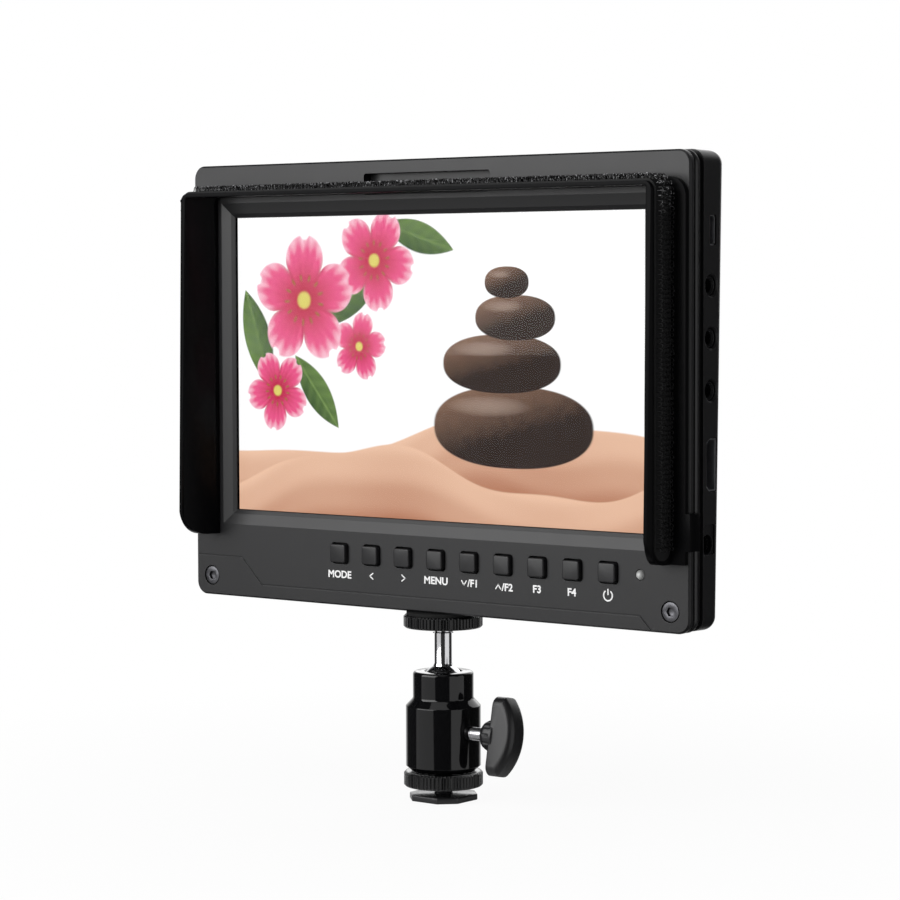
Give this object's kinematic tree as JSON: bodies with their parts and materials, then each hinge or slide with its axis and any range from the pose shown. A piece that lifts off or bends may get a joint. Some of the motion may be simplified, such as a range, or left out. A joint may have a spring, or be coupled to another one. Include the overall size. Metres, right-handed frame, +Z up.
{
  "type": "camera field monitor with sun hood",
  "caption": "Flat camera field monitor with a front key row and side sockets, a slide-on rigid sun hood with hook tape, on a tilting shoe-mount ball head.",
  "frame": {"origin": "centre of the shoe foot's underside", "axes": "+Z up along the ball head, the screen faces -Y, +X to the viewer's right on the socket side"},
  "size_m": [0.1894, 0.0369, 0.1922],
  "materials": {
    "frame_plastic": "fine matt texture",
    "shell_plastic": "satin",
    "window": "polished",
    "panel": "lit picture",
    "tray_metal": "satin",
    "circuit_board": "solder resist",
    "switch_plastic": "satin",
    "lens_plastic": "frosted",
    "black_screw": "black oxide",
    "steel_screw": "plated",
    "socket_metal": "plated",
    "socket_plastic": "moulded",
    "insert_brass": "turned",
    "ribbon": "film",
    "hood_plastic": "satin",
    "hook_fabric": "hook tape",
    "foot_metal": "black anodised",
    "wheel_metal": "matt black, grooved",
    "head_lacquer": "gloss black",
    "seat_metal": "turned",
    "polished_chrome": "polished",
    "pad_rubber": "matt",
    "knob_plastic": "satin",
    "key_plastic": "satin"
  },
  "bodies": {
    "foot": {"shoe_foot": "foot_metal", "head_body": "head_lacquer", "head_base": "seat_metal", "thrust_plug": "seat_metal"},
    "foot_wheel": {"foot_lock_wheel": "wheel_metal"},
    "clamp": {"clamp_screw": "polished_chrome", "clamp_knob": "knob_plastic"},
    "seat": {"ball_seat": "insert_brass"},
    "ball": {"ball_stem": "polished_chrome"},
    "stud_wheel": {"top_lock_wheel": "wheel_metal", "wheel_pad": "pad_rubber"},
    "monitor": {"front_frame": "frame_plastic", "rear_shell": "shell_plastic", "window_glass": "window", "lcd_panel": "panel", "backlight_tray": "tray_metal", "main_board": "circuit_board", "key_board": "circuit_board", "tact_switches": "switch_plastic", "led_lens": "lens_plastic", "front_screws": "black_screw", "rear_screws": "steel_screw", "data_socket": "socket_metal", "jack_upper": "socket_plastic", "jack_middle": "socket_plastic", "jack_lower": "socket_plastic", "video_socket": "socket_metal", "dc_socket": "socket_plastic", "tripod_insert": "insert_brass", "board_standoffs": "steel_screw", "screen_ribbon": "ribbon"},
    "hood": {"hood_frame": "hood_plastic", "hook_tape": "hook_fabric"},
    "mode_button": {"key_mode": "key_plastic"},
    "left_button": {"key_left": "key_plastic"},
    "right_button": {"key_right": "key_plastic"},
    "menu_button": {"key_menu": "key_plastic"},
    "down_button": {"key_down": "key_plastic"},
    "up_button": {"key_up": "key_plastic"},
    "f3_button": {"key_f3": "key_plastic"},
    "f4_button": {"key_f4": "key_plastic"},
    "power_button": {"key_power": "key_plastic"}
  },
  "joints": [
    {"name": "foot_wheel_turn", "type": "hinge", "parent": "foot", "child": "foot_wheel", "pos_m": [0, 0, 0.0064], "axis": [0, 0, 1], "continuous": true},
    {"name": "clamp_turn", "type": "hinge", "parent": "foot", "child": "clamp", "pos_m": [0.024, 0, 0.0208], "axis": [1, 0, 0], "range_deg": [0, 330]},
    {"name": "head_pan", "type": "hinge", "parent": "foot", "child": "seat", "pos_m": [0, 0, 0.0345], "axis": [0, 0, 1], "continuous": true},
    {"name": "head_tilt", "type": "hinge", "parent": "seat", "child": "ball", "pos_m": [0, 0, 0.0345], "axis": [1, 0, 0], "range_deg": [-25, 25]},
    {"name": "stud_wheel_turn", "type": "hinge", "parent": "ball", "child": "stud_wheel", "pos_m": [0, 0, 0.054], "axis": [0, 0, 1], "continuous": true},
    {"name": "monitor_turn", "type": "hinge", "parent": "ball", "child": "monitor", "pos_m": [0, 0, 0.058], "axis": [0, 0, 1], "continuous": true},
    {"name": "hood_slide", "type": "slide", "parent": "monitor", "child": "hood", "axis": [0, 0, 1], "range_m": [0, 0.112]},
    {"name": "mode_press", "type": "slide", "parent": "monitor", "child": "mode_button", "axis": [0, 1, 0], "range_m": [0, 0.0005], "stiffness_N_per_m": 1500},
    {"name": "left_press", "type": "slide", "parent": "monitor", "child": "left_button", "axis": [0, 1, 0], "range_m": [0, 0.0005], "stiffness_N_per_m": 1500},
    {"name": "right_press", "type": "slide", "parent": "monitor", "child": "right_button", "axis": [0, 1, 0], "range_m": [0, 0.0005], "stiffness_N_per_m": 1500},
    {"name": "menu_press", "type": "slide", "parent": "monitor", "child": "menu_button", "axis": [0, 1, 0], "range_m": [0, 0.0005], "stiffness_N_per_m": 1500},
    {"name": "down_press", "type": "slide", "parent": "monitor", "child": "down_button", "axis": [0, 1, 0], "range_m": [0, 0.0005], "stiffness_N_per_m": 1500},
    {"name": "up_press", "type": "slide", "parent": "monitor", "child": "up_button", "axis": [0, 1, 0], "range_m": [0, 0.0005], "stiffness_N_per_m": 1500},
    {"name": "f3_press", "type": "slide", "parent": "monitor", "child": "f3_button", "axis": [0, 1, 0], "range_m": [0, 0.0005], "stiffness_N_per_m": 1500},
    {"name": "f4_press", "type": "slide", "parent": "monitor", "child": "f4_button", "axis": [0, 1, 0], "range_m": [0, 0.0005], "stiffness_N_per_m": 1500},
    {"name": "power_press", "type": "slide", "parent": "monitor", "child": "power_button", "axis": [0, 1, 0], "range_m": [0, 0.0005], "stiffness_N_per_m": 1500}
  ]
}
